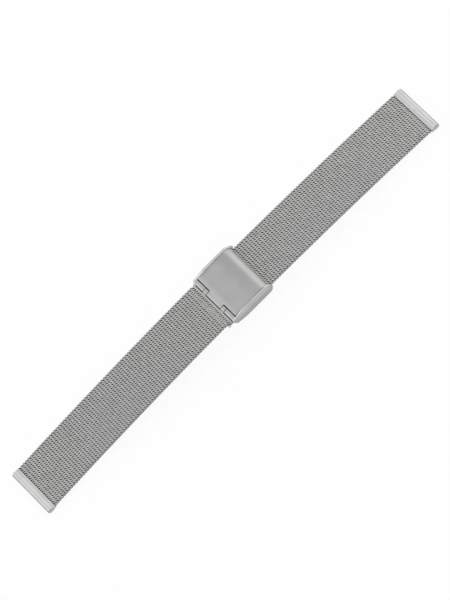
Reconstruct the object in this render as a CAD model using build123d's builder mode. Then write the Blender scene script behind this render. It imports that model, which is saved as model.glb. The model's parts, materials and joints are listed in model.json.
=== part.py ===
from build123d import *
from math import acos, degrees
import os

os.makedirs("parts", exist_ok=True)

# Mesh band: milanese wire mesh, woven in rows that run across the band
band_width = 19.9
mesh_thickness = 1.05
row_pitch = 1.13
row_groove = 0.09
joint_gap = 0.12
rows_per_segment = 5
short_segments = 14
long_segments = 12
hook_rows = 2
clamped_rows = 19
short_lug_rows = 1
long_lug_rows = 2
arch_radius = 1100.0

# Lug ends: a collar that closes the mesh and a tube for the spring bar
collar_length = 0.95
collar_thickness = 1.4
collar_rounding = 0.15
tube_radius = 1.15
bore_radius = 0.75
tube_rounding = 0.12

# Hinge of the clasp: one pin shared by the frame, the cover and the hooks
sheet = 0.4
barrel_radius = 0.8
hinge_pin_radius = 0.36
pin_clearance = 0.05
seat_clearance = 0.02
tongue_width = 7.3
hook_width = 1.7
knuckle_gap = 0.2
hook_wrap = 235.0

# Hook plate on the short strap
hook_seam = 0.13
strip_length = 0.75
strip_thickness = 1.24
strip_rounding = 0.18

# Tail of the long strap, which lies under the short strap
tail_reach = 1.93
cap_length = 1.0
cap_thickness = 1.15
cap_rounding = 0.2

# Clasp frame: two boat-shaped walls joined by a web above the long strap
lever_room = 0.8
channel_clearance = 0.1
wall_thickness = 0.95
wall_clearance = 0.45
wall_bevel = 0.65
bow_radius = 0.8
prow_place = 0.7
prow_height = 2.1
prow_radius = 1.3
keel_lift = 0.1
keel_start = 4.6
keel_end = 14.0
keel_radius = 2.3
rim_peak_place = 12.4
rim_height = 4.35
rim_radius = 1.6
stern_place = 15.0
stern_height = 3.95
stern_radius = 1.9
web_start = 1.2
web_end = 14.95
flange_height = 0.45
bead_radius = 0.15

# Clasp cover
cover_gap = 0.1
cover_start = 1.25
cover_bend_start = 13.3
cover_bend_radius = 2.8
cover_peak_height = 4.2
cover_crown_height = 3.92
lip_clearance = 0.3
notch_rounding = 0.3

# Lock lever under the clasp
lever_place = 13.0
lever_pin_radius = 0.2
lever_barrel_radius = 0.32
lever_free_end = 3.2
lever_thickness = 0.35
lever_lift = 0.05
lever_gap = 0.3
cam_radius = 0.22
cam_reach = 0.2
cam_rise = 0.12
thumb_radius = 2.2
thumb_depth = 1.0

# Worked-out sizes
overrun = sheet
half_mesh = mesh_thickness / 2
segment_length = rows_per_segment * row_pitch
mesh_height = lever_room + half_mesh
web_height = mesh_height + half_mesh + channel_clearance
pin_height = web_height + barrel_radius
short_rise = pin_height - mesh_height
strip_start = barrel_radius + hook_seam
short_mesh_start = strip_start + strip_length
short_hinge_start = short_mesh_start + hook_rows * row_pitch
short_lug_start = short_hinge_start + short_segments * segment_length
short_mesh_end = short_lug_start + short_lug_rows * row_pitch
long_hinge_start = clamped_rows * row_pitch - tail_reach
long_lug_start = long_hinge_start + long_segments * segment_length
long_mesh_end = long_lug_start + long_lug_rows * row_pitch
tube_place = collar_length + tube_radius
short_tube = short_mesh_end + tube_place
long_tube = long_mesh_end + tube_place
wall_inner = band_width / 2 + wall_clearance
wall_outer = wall_inner + wall_thickness
cover_half_width = wall_inner - cover_gap
lever_half_width = wall_inner - lever_gap
hook_place = tongue_width / 2 + knuckle_gap + hook_width / 2
knuckle_start = hook_place + hook_width / 2 + knuckle_gap
knuckle_width = cover_half_width - knuckle_start
knuckle_place = knuckle_start + knuckle_width / 2
pin_hole_radius = hinge_pin_radius + pin_clearance

# Arch of the band: the whole band lies on circles about one far centre, so the tail slides under
# the short strap at an even gap, and both lug ends stand on the ground
apex = (long_tube - short_tube) / 2 + short_rise * arch_radius / (long_tube + short_tube)


def arch_point(distance, rise):
    """Point at a distance along the band from the hinge pin and a rise above the long strap."""
    turn = Vector(0, 0, arch_radius + rise).rotate(Axis.Y, degrees((distance - apex) / arch_radius))
    return turn - Vector(0, 0, arch_radius)


short_tube_centre = arch_point(-short_tube, short_rise)
long_tube_centre = arch_point(long_tube, 0)
shift = Vector(
    -(short_tube_centre.X + long_tube_centre.X) / 2,
    0,
    tube_radius - min(short_tube_centre.Z, long_tube_centre.Z),
)


def side_plane(side, start, end, rise):
    """Plane of a side view, on the chord between two places of one strap, x along the strap."""
    first = arch_point(side * start, rise) + shift
    last = arch_point(side * end, rise) + shift
    return Plane(origin=(first + last) / 2, x_dir=last - first, z_dir=(0, -side, 0))


# Frame of the clasp: x runs from the hinge pin along the clamped mesh, y up from the underside
clamp_plane = side_plane(1, -tail_reach, long_hinge_start, 0)
clamp_middle = (long_hinge_start - tail_reach) / 2
clasp_origin = clamp_plane.from_local_coords(Vector(-clamp_middle, -mesh_height, 0))
clasp_plane = Plane(origin=clasp_origin, x_dir=clamp_plane.x_dir, z_dir=clamp_plane.z_dir)
plan_plane = Plane(origin=clasp_origin, x_dir=clamp_plane.x_dir, z_dir=clamp_plane.y_dir)
pin_point = clasp_plane.from_local_coords(Vector(0, pin_height, 0))

# Frame of the hook plate: x runs from the hinge pin along the short strap
hook_end = arch_point(-short_hinge_start, short_rise) + shift
hook_plane = Plane(origin=pin_point, x_dir=hook_end - pin_point, z_dir=(0, 1, 0))


def save(piece, label):
    piece.part.label = label
    export_step(piece.part, "parts/" + label + ".step")


# Mesh: each row is a rounded rib, and a segment's outer rows end in a rounded nose
def mesh_outline(rows, start_nose, end_nose):
    half_length = rows * row_pitch / 2
    groove = half_mesh - row_groove
    nose = half_length - joint_gap / 2
    with BuildSketch() as outline:
        with BuildLine():
            for row in range(rows):
                left = row * row_pitch - half_length
                start = (left, groove)
                end = (left + row_pitch, groove)
                if row == 0 and start_nose:
                    start = (-nose, 0)
                if row == rows - 1 and end_nose:
                    end = (nose, 0)
                ThreePointArc(start, (left + row_pitch / 2, half_mesh), end)
            if not start_nose:
                Line((-half_length, groove), (-half_length, 0))
            if not end_nose:
                Line((half_length, groove), (half_length, 0))
            mirror(about=Plane.XZ)
        make_face()
    return outline.sketch


def mesh_piece(label, plane, rows, start_nose=True, end_nose=True):
    outline = mesh_outline(rows, start_nose, end_nose)
    with BuildPart() as piece:
        with BuildSketch(plane):
            add(outline)
        extrude(amount=band_width / 2, both=True)
    save(piece, label)


def strap(name, side, start, segments, rise):
    for number in range(segments):
        place = start + number * segment_length
        plane = side_plane(side, place, place + segment_length, rise)
        mesh_piece(f"{name}_mesh_{number + 1:02d}", plane, rows_per_segment)


strap("short", -1, short_hinge_start, short_segments, short_rise)
strap("long", 1, long_hinge_start, long_segments, 0)

mesh_piece("clamped_mesh", clamp_plane, clamped_rows, start_nose=False)
stub_middle = (short_mesh_start + short_hinge_start) / 2
stub_plane = Plane(
    origin=hook_plane.from_local_coords(Vector(stub_middle, 0, 0)),
    x_dir=hook_plane.x_dir,
    z_dir=hook_plane.z_dir,
)
mesh_piece("hook_mesh", stub_plane, hook_rows, start_nose=False)


# Lug ends
def lug_end(name, side, lug_start, mesh_end, rows, rise):
    plane = side_plane(side, lug_start, mesh_end, rise)
    half_length = rows * row_pitch / 2
    mesh_piece(name + "_lug_mesh", plane, rows, end_nose=False)

    with BuildPart() as collar:
        with BuildSketch(plane):
            with Locations((half_length + collar_length / 2, 0)):
                RectangleRounded(collar_length, collar_thickness, collar_rounding)
        extrude(amount=band_width / 2, both=True)
    save(collar, name + "_lug_collar")

    with BuildPart() as tube:
        with BuildSketch(plane):
            with Locations((half_length + tube_place, 0)):
                Circle(tube_radius)
        extrude(amount=band_width / 2, both=True)
        chamfer(tube.edges().filter_by(GeomType.CIRCLE), length=tube_rounding)
        with BuildSketch(plane):
            with Locations((half_length + tube_place, 0)):
                Circle(bore_radius)
        extrude(amount=band_width, both=True, mode=Mode.SUBTRACT)
    save(tube, name + "_lug_tube")


lug_end("short", -1, short_lug_start, short_mesh_end, short_lug_rows, short_rise)
lug_end("long", 1, long_lug_start, long_mesh_end, long_lug_rows, 0)


# Cap on the tail of the long strap
with BuildPart() as tail_cap:
    with BuildSketch(clasp_plane):
        with Locations((-tail_reach - cap_length / 2, mesh_height)):
            RectangleRounded(cap_length, cap_thickness, cap_rounding)
    extrude(amount=band_width / 2, both=True)
save(tail_cap, "tail_cap")


# Clasp frame
with BuildSketch() as wall_outline:
    with Locations((0, pin_height)):
        Circle(bow_radius)
    with Locations((prow_place, prow_height)):
        Circle(prow_radius)
    with Locations((keel_start, keel_lift + keel_radius), (keel_end, keel_lift + keel_radius)):
        Circle(keel_radius)
    with Locations((rim_peak_place, rim_height - rim_radius)):
        Circle(rim_radius)
    with Locations((stern_place, stern_height - stern_radius)):
        Circle(stern_radius)
    make_hull()

with BuildPart() as clasp_frame:
    for side in (1, -1):
        with BuildSketch(clasp_plane.offset(side * (wall_inner + wall_thickness / 2))):
            add(wall_outline.sketch)
        extrude(amount=wall_thickness / 2, both=True)
    outer_faces = clasp_frame.faces().sort_by(Axis.Y)
    chamfer(outer_faces[0].edges() + outer_faces[-1].edges(), length=wall_bevel)
    with BuildSketch(clasp_plane):
        with Locations(((web_start + web_end) / 2, web_height + sheet / 2)):
            Rectangle(web_end - web_start, sheet)
        with Locations((web_end - sheet / 2, web_height + (sheet + flange_height) / 2)):
            Rectangle(sheet, sheet + flange_height)
        with Locations((web_end, web_height + sheet + flange_height - bead_radius)):
            Circle(bead_radius)
    extrude(amount=wall_inner, both=True)
    for side in (1, -1):
        with BuildSketch(clasp_plane.offset(side * knuckle_place)):
            with Locations((0, pin_height)):
                Circle(barrel_radius)
            with Locations((web_start / 2, web_height + sheet / 2)):
                Rectangle(web_start, sheet)
        extrude(amount=knuckle_width / 2, both=True)
    with BuildSketch(clasp_plane):
        with Locations((0, pin_height)):
            Circle(hinge_pin_radius + seat_clearance)
        with Locations((lever_place, lever_room / 2)):
            Circle(lever_pin_radius + seat_clearance)
    extrude(amount=wall_outer + overrun, both=True, mode=Mode.SUBTRACT)
save(clasp_frame, "clasp_frame")


# Pins
with BuildPart() as hinge_pin:
    with BuildSketch(clasp_plane):
        with Locations((0, pin_height)):
            Circle(hinge_pin_radius)
    extrude(amount=wall_outer, both=True)
save(hinge_pin, "hinge_pin")

with BuildPart() as lever_pin:
    with BuildSketch(clasp_plane):
        with Locations((lever_place, lever_room / 2)):
            Circle(lever_pin_radius)
    extrude(amount=wall_outer, both=True)
save(lever_pin, "lever_pin")


# Clasp cover: an arched plate, a tongue curled round the pin and a front that bends down
lip_height = mesh_height + half_mesh + lip_clearance
bend_centre_height = cover_peak_height - cover_bend_radius
bend_angle = degrees(acos((lip_height - bend_centre_height) / cover_bend_radius))

with BuildPart() as clasp_cover:
    with BuildSketch(clasp_plane):
        with BuildLine():
            crown = ThreePointArc(
                (0, pin_height + barrel_radius),
                (cover_bend_start / 2, cover_crown_height),
                (cover_bend_start, cover_peak_height),
            )
            front = JernArc(crown @ 1, (1, 0), cover_bend_radius, -bend_angle)
            offset(amount=sheet, side=Side.RIGHT)
        make_face()
    extrude(amount=cover_half_width, both=True)
    with BuildSketch(plan_plane.offset(pin_height)):
        for side in (1, -1):
            with Locations((0, side * (tongue_width + band_width) / 2)):
                RectangleRounded(2 * cover_start, band_width, notch_rounding)
    extrude(amount=cover_peak_height, mode=Mode.SUBTRACT)
    with BuildSketch(clasp_plane):
        with Locations((0, pin_height)):
            Circle(barrel_radius)
    extrude(amount=tongue_width / 2, both=True)
    with BuildSketch(clasp_plane):
        with Locations((0, pin_height)):
            Circle(pin_hole_radius)
    extrude(amount=band_width, both=True, mode=Mode.SUBTRACT)
save(clasp_cover, "clasp_cover")


# Hook plate: a strip that closes the short strap's mesh, with two hooks that pass over the pin
with BuildPart() as hook_plate:
    with BuildSketch(hook_plane):
        with Locations((strip_start + strip_length / 2, 0)):
            RectangleRounded(strip_length, strip_thickness, strip_rounding)
    extrude(amount=band_width / 2, both=True)
    for side in (1, -1):
        with BuildSketch(hook_plane.offset(side * hook_place)):
            with BuildLine():
                outer = CenterArc((0, 0), barrel_radius, 0, hook_wrap)
                inner = CenterArc((0, 0), pin_hole_radius, 0, hook_wrap)
                Line(outer @ 0, inner @ 0)
                Line(outer @ 1, inner @ 1)
            make_face()
            with Locations(((pin_hole_radius + strip_start) / 2, sheet / 2)):
                Rectangle(strip_start - pin_hole_radius, sheet)
        extrude(amount=hook_width / 2, both=True)
save(hook_plate, "hook_plate")


# Lock lever: a flap with a cam that presses the long strap against the web
with BuildPart() as lock_lever:
    with BuildSketch(clasp_plane):
        with Locations(((lever_free_end + lever_place) / 2, lever_lift + lever_thickness / 2)):
            Rectangle(lever_place - lever_free_end, lever_thickness)
        with Locations((lever_place, lever_room / 2)):
            Circle(lever_barrel_radius)
        with Locations((lever_place - cam_reach, lever_room / 2 + cam_rise)):
            Circle(cam_radius)
    extrude(amount=lever_half_width, both=True)
    with BuildSketch(plan_plane):
        with Locations((lever_free_end + thumb_depth - thumb_radius, 0)):
            Circle(thumb_radius)
    extrude(amount=lever_room, mode=Mode.SUBTRACT)
    with BuildSketch(clasp_plane):
        with Locations((lever_place, lever_room / 2)):
            Circle(lever_pin_radius + pin_clearance)
    extrude(amount=band_width, both=True, mode=Mode.SUBTRACT)
save(lock_lever, "lock_lever")
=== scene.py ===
import json
import math

import bpy
import numpy as np
from mathutils import Matrix, Vector


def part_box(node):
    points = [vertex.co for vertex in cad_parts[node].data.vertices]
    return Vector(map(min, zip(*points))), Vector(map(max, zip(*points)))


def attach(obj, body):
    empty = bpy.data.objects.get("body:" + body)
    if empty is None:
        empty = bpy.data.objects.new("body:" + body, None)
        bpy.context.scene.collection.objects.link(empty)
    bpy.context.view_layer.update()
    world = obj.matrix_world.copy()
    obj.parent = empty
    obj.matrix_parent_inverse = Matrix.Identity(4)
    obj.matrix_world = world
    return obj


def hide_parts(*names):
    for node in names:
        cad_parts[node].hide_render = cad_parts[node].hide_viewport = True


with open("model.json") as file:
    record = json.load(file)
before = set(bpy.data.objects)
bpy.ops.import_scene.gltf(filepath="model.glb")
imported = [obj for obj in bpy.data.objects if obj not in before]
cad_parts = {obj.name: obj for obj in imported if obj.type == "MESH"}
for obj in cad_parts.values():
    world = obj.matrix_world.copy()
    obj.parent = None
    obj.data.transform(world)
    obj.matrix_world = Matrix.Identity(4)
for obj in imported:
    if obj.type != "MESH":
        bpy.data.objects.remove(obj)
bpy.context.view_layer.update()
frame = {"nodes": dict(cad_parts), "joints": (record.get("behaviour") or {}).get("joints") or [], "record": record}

scene = bpy.context.scene
mm = 0.001
record = frame["record"]
joint_place = {joint["name"]: Vector(joint["pos_m"]) for joint in frame["joints"]}
mount_place = {mount["name"]: Vector(mount["pos_m"]) for mount in record["mounts"]}
node_body = {node: body for body, nodes in record["behaviour"]["bodies"].items() for node in nodes}
hinge = joint_place["cover_hinge"]

# Weave of the mesh: each row is a flattened coil that runs across the band, round a core
band_width = 19.9 * mm
weave_width = 20.2 * mm
half_thickness = 0.525 * mm
row_pitch = 1.13 * mm
rows_per_segment = 5
coils_per_row = 22.5
wire_radius = 0.195 * mm
coil_reach = 0.77 * mm
coil_height = 0.35 * mm
slant_reach = 0.28 * mm
flat_top = 3.6
points_per_turn = 16
wire_sides = 7
least_length = 1e-9
lane_jitter = 0.012 * mm
height_jitter = 0.012 * mm
core_half_width = 0.46 * mm
core_half_height = 0.13 * mm
pressed_core_half_height = 0.36 * mm
core_sides = 8
core_gap = 0.15 * mm

# Noise in the steel's tone, roughness and relief, and the width of a sharp change of tone
noise_low = 0.3
noise_high = 0.7
cloud_detail = 3.0
line_detail = 4.0
bump_depth = 0.01 * mm
tone_edge = 0.05 * mm


# Materials
def ramp_between(tree, source, low, high, start, end):
    """A value that goes from low to high as the source goes from start to end."""
    ramp = tree.nodes.new("ShaderNodeMapRange")
    ramp.inputs["From Min"].default_value = start
    ramp.inputs["From Max"].default_value = end
    ramp.inputs["To Min"].default_value = low
    ramp.inputs["To Max"].default_value = high
    tree.links.new(source, ramp.inputs["Value"])
    return ramp.outputs["Result"]


def largest(tree, first, second):
    most = tree.nodes.new("ShaderNodeMath")
    most.operation = "MAXIMUM"
    tree.links.new(first, most.inputs[0])
    tree.links.new(second, most.inputs[1])
    return most.outputs[0]


def grain_noise(tree, stretch, scale, detail):
    """Noise in the object's own coordinates, stretched along one axis for brushed lines."""
    place = tree.nodes.new("ShaderNodeTexCoord")
    mapping = tree.nodes.new("ShaderNodeMapping")
    mapping.inputs["Scale"].default_value = stretch
    noise = tree.nodes.new("ShaderNodeTexNoise")
    noise.inputs["Scale"].default_value = scale
    noise.inputs["Detail"].default_value = detail
    tree.links.new(place.outputs["Object"], mapping.inputs["Vector"])
    tree.links.new(mapping.outputs["Vector"], noise.inputs["Vector"])
    return noise.outputs["Fac"]


def tint_between(tree, source, dark, light):
    ramp = tree.nodes.new("ShaderNodeValToRGB")
    ramp.color_ramp.elements[0].position = noise_low
    ramp.color_ramp.elements[1].position = noise_high
    ramp.color_ramp.elements[0].color = (*dark, 1)
    ramp.color_ramp.elements[1].color = (*light, 1)
    tree.links.new(source, ramp.inputs["Fac"])
    return ramp.outputs["Color"]


def steel(name, dark, light, rough, grain, line_scale, cloud_scale, bump, metallic=1.0):
    """Steel whose tone drifts softly, with fine lines from the brushing in its roughness and bump."""
    material = bpy.data.materials.new(name)
    material.use_nodes = True
    tree = material.node_tree
    tree.nodes.clear()
    output = tree.nodes.new("ShaderNodeOutputMaterial")
    shader = tree.nodes.new("ShaderNodeBsdfPrincipled")
    shader.inputs["Metallic"].default_value = metallic
    cloud = grain_noise(tree, (1, 1, 1), cloud_scale, cloud_detail)
    lines = grain_noise(tree, grain, line_scale, line_detail)
    roughness = ramp_between(tree, lines, *rough, noise_low, noise_high)
    relief = tree.nodes.new("ShaderNodeBump")
    relief.inputs["Strength"].default_value = bump
    relief.inputs["Distance"].default_value = bump_depth
    tree.links.new(lines, relief.inputs["Height"])
    tree.links.new(tint_between(tree, cloud, dark, light), shader.inputs["Base Color"])
    tree.links.new(roughness, shader.inputs["Roughness"])
    tree.links.new(relief.outputs["Normal"], shader.inputs["Normal"])
    tree.links.new(shader.outputs["BSDF"], output.inputs["Surface"])
    return material


def shader_of(material):
    return next(node for node in material.node_tree.nodes if node.type == "BSDF_PRINCIPLED")


def between(material, axis, start, end, low, high):
    """A value that goes from low to high as one of the object's own coordinates goes from start to end.

    The axis "across" is a point's distance from the band's middle line, on either side.
    """
    tree = material.node_tree
    place = tree.nodes.new("ShaderNodeTexCoord")
    parts = tree.nodes.new("ShaderNodeSeparateXYZ")
    tree.links.new(place.outputs["Object"], parts.inputs["Vector"])
    if axis == "across":
        size = tree.nodes.new("ShaderNodeMath")
        size.operation = "ABSOLUTE"
        tree.links.new(parts.outputs["Y"], size.inputs[0])
        source = size.outputs[0]
    else:
        source = parts.outputs[axis]
    return ramp_between(tree, source, low, high, start, end)


def shade(material, factors):
    """Multiply the steel's tone by factors that vary over the surface."""
    tree = material.node_tree
    tone = shader_of(material).inputs["Base Color"]
    source = tone.links[0].from_socket
    for factor in factors:
        scale = tree.nodes.new("ShaderNodeVectorMath")
        scale.operation = "SCALE"
        tree.links.new(source, scale.inputs[0])
        tree.links.new(factor, scale.inputs["Scale"])
        source = scale.outputs[0]
    tree.links.new(source, tone)


wire = {"grain": (1, 1, 1), "line_scale": 9000, "cloud_scale": 700, "bump": 0.15}
brushed = {"grain": (1, 30, 30), "line_scale": 400}
cover_finish = {**brushed, "rough": (0.42, 0.5), "cloud_scale": 160, "bump": 0.08}
end_finish = {**brushed, "rough": (0.42, 0.5), "cloud_scale": 300, "bump": 0.04}
knuckle_finish = {**brushed, "rough": (0.34, 0.42), "cloud_scale": 200, "bump": 0.06}
frame_finish = {**brushed, "rough": (0.26, 0.34), "cloud_scale": 200, "bump": 0.06}
pin_finish = {**brushed, "rough": (0.25, 0.35), "cloud_scale": 300, "bump": 0.05}


def end_steel(name):
    return steel(name, (0.46, 0.46, 0.457), (0.51, 0.51, 0.506), **end_finish)


mesh_steel = steel("woven_steel", (0.5, 0.5, 0.495), (0.6, 0.6, 0.595), (0.24, 0.4), **wire)
# Painted shade: near-black steel for the cores inside the weave and for the ends of the knuckle tops, in place of
# the shade in the holes and gaps
painted_shade_steel = steel("painted_shade_inner", (0.03, 0.03, 0.03), (0.05, 0.05, 0.05), (0.5, 0.65), **wire)
# Painted shade: near-black steel for the bar in the seam between collar and mesh
seam_shade_steel = steel("seam_shade_steel", (0.07, 0.07, 0.07), (0.1, 0.1, 0.1), (0.5, 0.65), **wire)
# Painted shade, lighter, for the taller cores of the pressed rows
pressed_core_shade_steel = steel("pressed_core_shade_steel", (0.2, 0.2, 0.198), (0.26, 0.26, 0.258), (0.4, 0.5), **wire)
satin_steel = steel("satin_steel", (0.35, 0.35, 0.348), (0.38, 0.38, 0.378), **cover_finish)
cap_steel = end_steel("end_steel")
# Painted light: the tail cap is paler and less metallic than the other ends, against the shade under the short
# strap
tail_lightened_steel = steel("tail_lightened_steel", (0.6, 0.6, 0.597), (0.66, 0.66, 0.657), **end_finish, metallic=0.3)
hook_steel = steel("hook_steel", (0.37, 0.37, 0.368), (0.41, 0.41, 0.408), **knuckle_finish)
knuckle_steel = steel("knuckle_steel", (0.38, 0.38, 0.378), (0.42, 0.42, 0.418), **knuckle_finish)
frame_steel = steel("frame_steel", (0.445, 0.445, 0.44), (0.5, 0.5, 0.495), **frame_finish)
pin_steel = steel("pin_steel", (0.4, 0.4, 0.4), (0.48, 0.48, 0.48), **pin_finish)

# Painted shade: the mesh's tone is darker along its two edges, where the wire turns down
mesh_edge_start = 9.3 * mm
mesh_edge_end = 9.9 * mm
mesh_edge_shade_share = 0.6
shade(mesh_steel, [between(mesh_steel, "across", mesh_edge_start, mesh_edge_end, 1.0, mesh_edge_shade_share)])

# Painted light and shade on the clasp frame: painted shade darker towards its underside, painted shade in the
# recess between its walls below the hinge, the insides of the walls painted lighter and less metallic, and painted
# shade on the far rim
channel_half_width = 10.35 * mm
channel_start = channel_half_width - tone_edge
recess_shade_share = 0.15
wall_top = hinge.z + 1.25 * mm
wall_bottom = hinge.z - 0.15 * mm
underside_shade_share = 0.75
inner_face = 10.45 * mm
inner_end = inner_face + tone_edge
inner_light_gain = 2.0
inner_metal = 0.15
far_rim_start = 10.6 * mm
far_rim_end = 11.0 * mm
far_rim_shade_share = 0.8

low_down = between(frame_steel, "Z", wall_bottom, wall_top, underside_shade_share, 1.0)
outside = between(frame_steel, "across", channel_start, channel_half_width, recess_shade_share, 1.0)
above = between(frame_steel, "Z", hinge.z - tone_edge, hinge.z, recess_shade_share, 1.0)
recess_shade = largest(frame_steel.node_tree, outside, above)
inside = between(frame_steel, "across", inner_face, inner_end, inner_light_gain, 1.0)
far_rim = between(frame_steel, "Y", far_rim_start, far_rim_end, 1.0, far_rim_shade_share)
shade(frame_steel, [low_down, recess_shade, inside, far_rim])
metal = between(frame_steel, "across", inner_face, inner_end, inner_metal, 1.0)
frame_steel.node_tree.links.new(metal, shader_of(frame_steel).inputs["Metallic"])
# Painted shade on the pins between the walls
shade(pin_steel, [between(pin_steel, "across", channel_start, channel_half_width, recess_shade_share, 1.0)])

# Painted light and shade on the cover: a thin painted shadow line along its near side, a far side painted lighter,
# and painted highlights and shade that follow its bend
near_line_end = -9.7 * mm
near_line_shade_share = 0.45
far_side_start = 9.4 * mm
far_side_end = 10.1 * mm
far_side_light_gain = 1.18
# Painted highlights near the hinge, on the bend and on the lip, and painted shade across the middle
cover_light_and_shade = {
    "tongue": (1.6 * mm, 2.9 * mm, 1.17, 1.02),
    "middle": (8.0 * mm, 11.6 * mm, 1.0, 0.91),
    "bend": (12.7 * mm, 14.0 * mm, 1.0, 1.16),
    "lip": (15.0 * mm, 15.6 * mm, 1.0, 1.2),
}
factors = [
    between(satin_steel, "Y", near_line_end - tone_edge, near_line_end, near_line_shade_share, 1.0),
    between(satin_steel, "Y", far_side_start, far_side_end, 1.0, far_side_light_gain),
]
for start, end, before, after in cover_light_and_shade.values():
    factors.append(between(satin_steel, "X", hinge.x + start, hinge.x + end, before, after))
shade(satin_steel, factors)

# The lug tubes are matt in the bore and painted lighter there, so that their open ends aren't black, and painted
# shade on their outer sides
bore_radius = 0.76 * mm
bore_edge = bore_radius + tone_edge
bore_light_gain = 1.9
outline_start = 0.85 * mm
outline_end = 1.1 * mm
outline_shade_share = 0.55


def tube_steel(name, mount):
    """Steel of the lug tube at one mount, painted lighter in the bore by the distance from the tube's axis, with
    painted shade on its outer side.
    """
    material = end_steel(name)
    tree = material.node_tree
    centre = mount_place[mount]
    place = tree.nodes.new("ShaderNodeTexCoord")
    offset = tree.nodes.new("ShaderNodeVectorMath")
    offset.operation = "SUBTRACT"
    offset.inputs[1].default_value = centre
    flat = tree.nodes.new("ShaderNodeVectorMath")
    flat.operation = "MULTIPLY"
    flat.inputs[1].default_value = (1, 0, 1)
    length = tree.nodes.new("ShaderNodeVectorMath")
    length.operation = "LENGTH"
    parts = tree.nodes.new("ShaderNodeSeparateXYZ")
    outward = tree.nodes.new("ShaderNodeMath")
    outward.operation = "MULTIPLY"
    outward.inputs[1].default_value = math.copysign(1, centre.x)
    tree.links.new(place.outputs["Object"], offset.inputs[0])
    tree.links.new(offset.outputs[0], flat.inputs[0])
    tree.links.new(flat.outputs[0], length.inputs[0])
    tree.links.new(flat.outputs[0], parts.inputs["Vector"])
    tree.links.new(parts.outputs["X"], outward.inputs[0])
    radius = length.outputs["Value"]
    metal = ramp_between(tree, radius, 0.0, 1.0, bore_radius, bore_edge)
    pale = ramp_between(tree, radius, bore_light_gain, 1.0, bore_radius, bore_edge)
    outer_shade = ramp_between(tree, outward.outputs[0], 1.0, outline_shade_share, outline_start, outline_end)
    tree.links.new(metal, shader_of(material).inputs["Metallic"])
    shade(material, [pale, outer_shade])
    return material


short_tube_steel = tube_steel("short_tube_steel", "short_lug_bore")
long_tube_steel = tube_steel("long_tube_steel", "long_lug_bore")


def add_piece(name, points, faces, materials, face_slots, smooth_faces, body, replaced=None):
    """A piece that rides on a body of the frame, and may take the place of a CAD node."""
    mesh = bpy.data.meshes.new(name)
    mesh.from_pydata(points, [], faces)
    for material in materials:
        mesh.materials.append(material)
    mesh.polygons.foreach_set("material_index", face_slots)
    mesh.polygons.foreach_set("use_smooth", smooth_faces)
    mesh.update()
    piece = bpy.data.objects.new(name, mesh)
    scene.collection.objects.link(piece)
    if replaced:
        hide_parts(replaced)
    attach(piece, body)
    return piece


# Woven mesh
def tube_points(path, radius, sides):
    """Points of a tube round a path, one ring for each point of the path."""
    tangent = np.gradient(path, axis=0)
    tangent /= np.linalg.norm(tangent, axis=1, keepdims=True)
    across = np.cross(tangent, np.array([0.0, 1.0, 0.0]))
    across /= np.maximum(np.linalg.norm(across, axis=1, keepdims=True), least_length)
    other = np.cross(tangent, across)
    turn = np.linspace(0, 2 * np.pi, sides, endpoint=False)
    ring = (
        across[:, None, :] * np.cos(turn)[None, :, None]
        + other[:, None, :] * np.sin(turn)[None, :, None]
    )
    points = path[:, None, :] + radius * ring
    return points.reshape(-1, 3)


def tube_faces(rings, sides, first):
    """Quads between the rings of one tube, and the two end caps."""
    index = np.arange(rings * sides).reshape(rings, sides) + first
    a = index[:-1]
    b = np.roll(a, -1, axis=1)
    c = index[1:]
    d = np.roll(c, -1, axis=1)
    quads = np.stack([a, b, d, c], axis=-1).reshape(-1, 4).tolist()
    return quads + [index[0].tolist()[::-1], index[-1].tolist()]


def smooth(value):
    value = np.clip(value, 0, 1)
    return value * value * (3 - 2 * value)


def coil_path(centre, random):
    """One row's wire: a flat coil that crosses to the next lane in the middle of the row."""
    count = int(coils_per_row * points_per_turn) + 1
    angle = np.arange(count) * (2 * np.pi / points_per_turn)
    half_width = weave_width / 2 - wire_radius
    lane = (weave_width - 2 * wire_radius) / coils_per_row
    whole = np.floor(angle / (2 * np.pi))
    part = angle - whole * 2 * np.pi
    loop = whole.astype(int)
    loops = len(set(whole.tolist())) + 1
    shift = random.normal(0, lane_jitter, (loops, 2))[loop]
    lift = random.normal(0, height_jitter, (loops, 2))[loop]
    x = coil_reach * np.cos(part)
    top = part < np.pi
    share = np.where(top, slant_reach - x, slant_reach + x) / (2 * slant_reach)
    step = (smooth(share) + np.where(top, 0, 1)) / 2
    sway = shift[:, 0] * np.sin(part) ** 2
    y = np.clip(lane * (whole + step) + sway - half_width, -half_width, half_width)
    rise = np.where(top, lift[:, 0], lift[:, 1]) * np.abs(np.sin(part))
    flat = np.tanh(flat_top * np.sin(part)) / math.tanh(flat_top)
    return np.stack([centre + x, y, (coil_height + rise) * flat], axis=1)


def core_points(centre, half_height):
    """Points of a row's core: an oval at each end of the row."""
    turn = np.linspace(0, 2 * np.pi, core_sides, endpoint=False)
    x = centre + core_half_width * np.cos(turn)
    z = half_height * np.sin(turn)
    end = band_width / 2 - core_gap
    return np.concatenate([np.stack([x, np.full(core_sides, y), z], axis=1) for y in (-end, end)])


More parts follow.
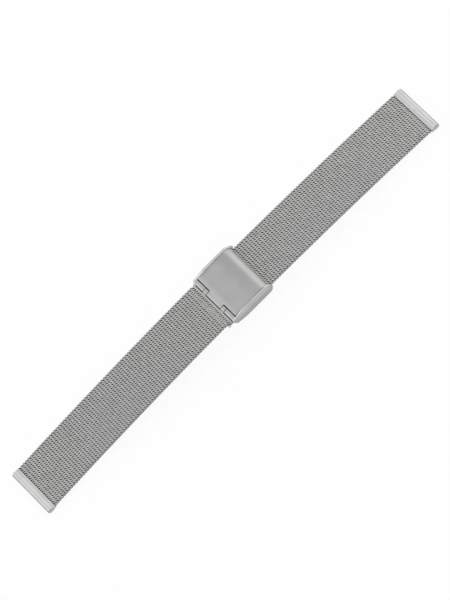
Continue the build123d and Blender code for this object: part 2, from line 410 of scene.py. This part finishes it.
def woven_piece(node, start, end, rows, seed, pressed=()):
    """The woven rows between two points of the strap's middle plane, in place of one CAD slab.

    The pressed rows, next to a metal end, get a taller core that fills more of the space within their wires.
    """
    random = np.random.default_rng(seed)
    if end.x < start.x:
        start, end = end, start
    along = (end - start).normalized()
    up = Vector((-along.z, 0, along.x))
    pitch = (end - start).length / rows
    materials = [mesh_steel, painted_shade_steel] + ([pressed_core_shade_steel] if pressed else [])
    points = []
    faces = []
    count = 0
    for row in range(rows):
        path = coil_path((row + 0.5) * pitch, random)
        ring = tube_points(path, wire_radius, wire_sides)
        ring[:, 2] = np.clip(ring[:, 2], -half_thickness, half_thickness)
        points.append(ring)
        faces += tube_faces(len(path), wire_sides, count)
        count += len(ring)
    face_slots = [0] * len(faces)
    for row in range(rows):
        # The cores are near-black painted shade, lighter in the pressed rows
        if row in pressed:
            half_height, material = pressed_core_half_height, pressed_core_shade_steel
        else:
            half_height, material = core_half_height, painted_shade_steel
        core = core_points((row + 0.5) * pitch, half_height)
        core_faces = tube_faces(2, core_sides, count)
        points.append(core)
        faces += core_faces
        face_slots += [materials.index(material)] * len(core_faces)
        count += len(core)
    local = np.concatenate(points)
    placed = (
        np.array(start)
        + local[:, :1] * np.array(along)
        + local[:, 1:2] * np.array([0.0, 1.0, 0.0])
        + local[:, 2:] * np.array(up)
    )
    smooth_faces = [True] * len(faces)
    add_piece(f"woven_{node}", placed.tolist(), faces, materials, face_slots, smooth_faces,
              node_body[node], node)


def far_end(node, near, length):
    """The other end of a slab that starts at a joint, along the slab's middle line."""
    low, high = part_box(node)
    middle = (low + high) / 2
    toward = Vector((middle.x - near.x, 0, middle.z - near.z)).normalized()
    return near + toward * length


segments_of = {"short": 14, "long": 12}
end_segments = (
    ("hook_mesh", "short_flex_01", 2, (0, 1)),
    ("clamped_mesh", "long_flex_01", 19, (0, 1, 2)),
    ("short_lug_mesh", "short_flex_15", 1, (0,)),
    ("long_lug_mesh", "long_flex_13", 2, (1,)),
)
seed = 100
for strap, count in segments_of.items():
    for number in range(1, count + 1):
        seed += 1
        first = joint_place[f"{strap}_flex_{number:02d}"]
        last = joint_place[f"{strap}_flex_{number + 1:02d}"]
        woven_piece(f"{strap}_mesh_{number:02d}", first, last, rows_per_segment, seed)
for node, joint, rows, pressed in end_segments:
    seed += 1
    first = joint_place[joint]
    last = far_end(node, first, rows * row_pitch)
    woven_piece(node, first, last, rows, seed, pressed)

# Pieces with one section all along the band's width
sharp_angle = math.radians(30)
band_along = Vector((1, 0, 0))


def bar(name, body, materials, section, origin, along, low, high, replaced=None):
    """A bar from y = low to y = high, whose section is given as (along, up) points about an origin.

    A second material, if there is one, is for its two ends.
    """
    up = Vector((-along.z, 0, along.x))
    count = len(section)
    points = []
    for y in (low, high):
        for reach, rise in section:
            spot = origin + along * reach + up * rise
            points.append((spot.x, y, spot.z))
    faces = [(i, (i + 1) % count, count + (i + 1) % count, count + i) for i in range(count)]
    faces += [tuple(range(count))[::-1], tuple(range(count, 2 * count))]
    face_slots = [0] * count + [len(materials) - 1] * 2
    smooth_faces = [True] * count + [False] * 2
    piece = add_piece(name, points, faces, materials, face_slots, smooth_faces, body, replaced)
    piece.data.set_sharp_from_angle(angle=sharp_angle)


def arc(centre, radius, start, end, steps):
    """Points of an arc, its angles in degrees."""
    turns = [math.radians(start + (end - start) * step / steps) for step in range(steps + 1)]
    return [(centre[0] + radius * math.cos(a), centre[1] + radius * math.sin(a)) for a in turns]


# Collar of each lug end, which flows into the tube, and a near-black bar between collar and mesh, painted shade in
# the seam
collar_half_length = 0.475 * mm
collar_half_thickness = 0.7 * mm
collar_rounding = 0.15 * mm
collar_half_width = band_width / 2
tube_radius = 1.15 * mm
tube_overlap = 0.95 * mm
flow_radius = 2.0 * mm
corner_steps = 6
flow_steps = 10
tube_steps = 8
seam_start = -0.56 * mm
seam_end = -0.42 * mm
seam_half_height = 0.6 * mm
seam_gap = 0.1 * mm
seam_half_width = band_width / 2 - seam_gap
for strap in ("short", "long"):
    collar_node = f"{strap}_lug_collar"
    body = f"{strap}_lug"
    low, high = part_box(collar_node)
    origin = (low + high) / 2
    origin.y = 0
    tube = mount_place[f"{strap}_lug_bore"]
    reach = (tube - origin).length
    side = 1 if tube.x > origin.x else -1
    along = (tube - origin) / reach * side
    flow_height = collar_half_thickness + flow_radius
    flow_reach = reach - math.sqrt((tube_radius + flow_radius) ** 2 - flow_height ** 2)
    flow_turn = math.degrees(math.atan2(flow_height, flow_reach - reach))
    corner = (collar_rounding - collar_half_length, collar_half_thickness - collar_rounding)
    upper = [(-collar_half_length, 0)]
    upper += arc(corner, collar_rounding, 180, 90, corner_steps)
    upper += arc((flow_reach, flow_height), flow_radius, -90, flow_turn - 180, flow_steps)
    upper += arc((reach, 0), tube_overlap, flow_turn, 180, tube_steps)
    lower = [(x, -z) for x, z in upper[1:-1]][::-1]
    section = [(side * x, z) for x, z in upper + lower][::side]
    bar(f"flowing_{strap}_collar", body, [cap_steel], section, origin, along,
        -collar_half_width, collar_half_width, collar_node)
    section = [
        (seam_start, -seam_half_height),
        (seam_start, seam_half_height),
        (seam_end, seam_half_height),
        (seam_end, -seam_half_height),
    ]
    section = [(side * x, z) for x, z in section][::side]
    bar(f"{strap}_lug_seam_shade", body, [seam_shade_steel], section, origin, along,
        -seam_half_width, seam_half_width)

# Flat tops of the frame's knuckles and of the hooks, which fill the cover's notches up to a thin gap; their
# near-black ends are painted shade in the gaps
knuckle_left = 0.81 * mm
knuckle_top = 0.81 * mm
knuckle_reach = 0.88 * mm
knuckle_rounding = 0.2 * mm
knuckle_low = -0.3 * mm
knuckle_foot = -0.729 * mm
left_steps = 10
right_steps = 6
hook_span = (3.85 * mm, 5.55 * mm)
knuckle_span = (5.75 * mm, 10.4 * mm)
corner = (knuckle_reach - knuckle_rounding, knuckle_top - knuckle_rounding)
section = arc((0, 0), knuckle_left, 180, 90, left_steps)
section += arc(corner, knuckle_rounding, 90, 0, right_steps)
section += [(knuckle_reach, knuckle_low), (knuckle_foot, knuckle_low)]
for label, side in (("far", 1), ("near", -1)):
    for name, body, material, span in (
        ("hook_top", "hook_end", hook_steel, hook_span),
        ("knuckle_top", "clasp_frame", knuckle_steel, knuckle_span),
    ):
        low, high = sorted((side * span[0], side * span[1]))
        bar(f"{label}_{name}", body, [material, painted_shade_steel], section, hinge, band_along,
            low, high)

# Lever pin, its ends flush with the bevels of the walls
lever_pin_radius = 0.2 * mm
lever_pin_half_length = 10.95 * mm
lever_pin_sides = 16
section = arc((0, 0), lever_pin_radius, 360 - 360 / lever_pin_sides, 0, lever_pin_sides - 1)
bar("flush_lever_pin", "clasp_frame", [pin_steel], section, joint_place["lever_hinge"],
    band_along, -lever_pin_half_length, lever_pin_half_length, "lever_pin")

# Finishes of the CAD pieces
finish_of = {
    "clasp_frame": frame_steel,
    "clasp_cover": satin_steel,
    "lock_lever": satin_steel,
    "hook_plate": hook_steel,
    "tail_cap": tail_lightened_steel,
    "hinge_pin": pin_steel,
    "lever_pin": pin_steel,
    "short_lug_collar": cap_steel,
    "short_lug_tube": short_tube_steel,
    "long_lug_collar": cap_steel,
    "long_lug_tube": long_tube_steel,
}
for node, material in finish_of.items():
    piece = frame["nodes"][node]
    if not piece.material_slots:
        piece.data.materials.append(material)
    for slot in piece.material_slots:
        slot.material = material

# Floor, mostly clear to the camera and in reflections, so that the white world and anything below it show
floor_half_size = 2.0
floor_tone = (0.9, 0.9, 0.9, 1)
floor_clear_share = 0.93


def seen_rays(tree):
    """1 for rays from the camera, off metal and through glass, 0 for the rest."""
    path = tree.nodes.new("ShaderNodeLightPath")
    total = path.outputs["Is Camera Ray"]
    for kind in ("Is Glossy Ray", "Is Transmission Ray"):
        total = largest(tree, total, path.outputs[kind])
    return total


def mixed(tree, share, first, second, output_kind):
    """End the tree in a mix of two shaders."""
    mix = tree.nodes.new("ShaderNodeMixShader")
    output = tree.nodes.new(output_kind)
    tree.links.new(share, mix.inputs["Fac"])
    tree.links.new(first.outputs[0], mix.inputs[1])
    tree.links.new(second.outputs[0], mix.inputs[2])
    tree.links.new(mix.outputs[0], output.inputs["Surface"])


floor_material = bpy.data.materials.new("pale_floor")
floor_material.use_nodes = True
tree = floor_material.node_tree
tree.nodes.clear()
plain = tree.nodes.new("ShaderNodeBsdfDiffuse")
plain.inputs["Color"].default_value = floor_tone
clear = tree.nodes.new("ShaderNodeBsdfTransparent")
share = tree.nodes.new("ShaderNodeMath")
share.operation = "MULTIPLY"
share.inputs[1].default_value = floor_clear_share
tree.links.new(seen_rays(tree), share.inputs[0])
mixed(tree, share.outputs[0], plain, clear, "ShaderNodeOutputMaterial")

corners = [(x * floor_half_size, y * floor_half_size, 0) for x, y in ((-1, -1), (1, -1), (1, 1), (-1, 1))]
floor_mesh = bpy.data.meshes.new("floor")
floor_mesh.from_pydata(corners, [], [(0, 1, 2, 3)])
floor_mesh.materials.append(floor_material)
floor = bpy.data.objects.new("floor", floor_mesh)
scene.collection.objects.link(floor)

# World: white to the camera and in reflections, a plain soft light otherwise
white = (1, 1, 1, 1)
seen_strength = 1.0
fill_strength = 0.8
world = bpy.data.worlds.new("studio")
scene.world = world
world.use_nodes = True
tree = world.node_tree
tree.nodes.clear()
fill = tree.nodes.new("ShaderNodeBackground")
fill.inputs["Color"].default_value = white
fill.inputs["Strength"].default_value = fill_strength
seen = tree.nodes.new("ShaderNodeBackground")
seen.inputs["Color"].default_value = white
seen.inputs["Strength"].default_value = seen_strength
mixed(tree, seen_rays(tree), fill, seen, "ShaderNodeOutputWorld")

# Lamps: a large softbox to the right and a small one to the left, in metres and watts
softboxes = (
    {"name": "right_softbox", "place": (0.75, 0.35, 0.55), "size": 1.2, "power": 3.0},
    {"name": "left_softbox", "place": (-0.65, 0.5, 0.6), "size": 0.7, "power": 1.5},
)
for softbox in softboxes:
    lamp = bpy.data.lights.new(softbox["name"], "AREA")
    lamp.shape = "SQUARE"
    lamp.size = softbox["size"]
    lamp.energy = softbox["power"]
    holder = bpy.data.objects.new(softbox["name"], lamp)
    scene.collection.objects.link(holder)
    holder.location = softbox["place"]
    holder.rotation_euler = (-Vector(softbox["place"])).to_track_quat("-Z", "Y").to_euler()

# Camera of the photograph: a long lens, tilted from straight above and rolled
view_azimuth = math.radians(-2.604)
view_elevation = math.radians(58.955)
view_roll = math.radians(-42.654)
view_distance = 2.3575
view_lens = 432.0
sensor_width = 36.0
near_clip = 0.1
far_clip = 20.0
aim_height = 3.0 * mm
aim_right = -0.482 * mm
aim_up = 0.56 * mm

ahead = math.cos(view_elevation)
forward = Vector((
    -math.sin(view_azimuth) * ahead,
    math.cos(view_azimuth) * ahead,
    -math.sin(view_elevation),
))
level_right = Vector((math.cos(view_azimuth), math.sin(view_azimuth), 0))
level_up = level_right.cross(forward)
right = level_right * math.cos(view_roll) + level_up * math.sin(view_roll)
up = level_up * math.cos(view_roll) - level_right * math.sin(view_roll)
place = Vector((0, 0, aim_height)) - forward * view_distance - right * aim_right - up * aim_up
camera_data = bpy.data.cameras.new("camera")
camera_data.lens = view_lens
camera_data.sensor_width = sensor_width
camera_data.clip_start = near_clip
camera_data.clip_end = far_clip
camera = bpy.data.objects.new("camera", camera_data)
scene.collection.objects.link(camera)
camera.matrix_world = Matrix(
    (
        (right.x, up.x, -forward.x, place.x),
        (right.y, up.y, -forward.y, place.y),
        (right.z, up.z, -forward.z, place.z),
        (0, 0, 0, 1),
    )
)
scene.camera = camera

scene.view_settings.view_transform = "Standard"
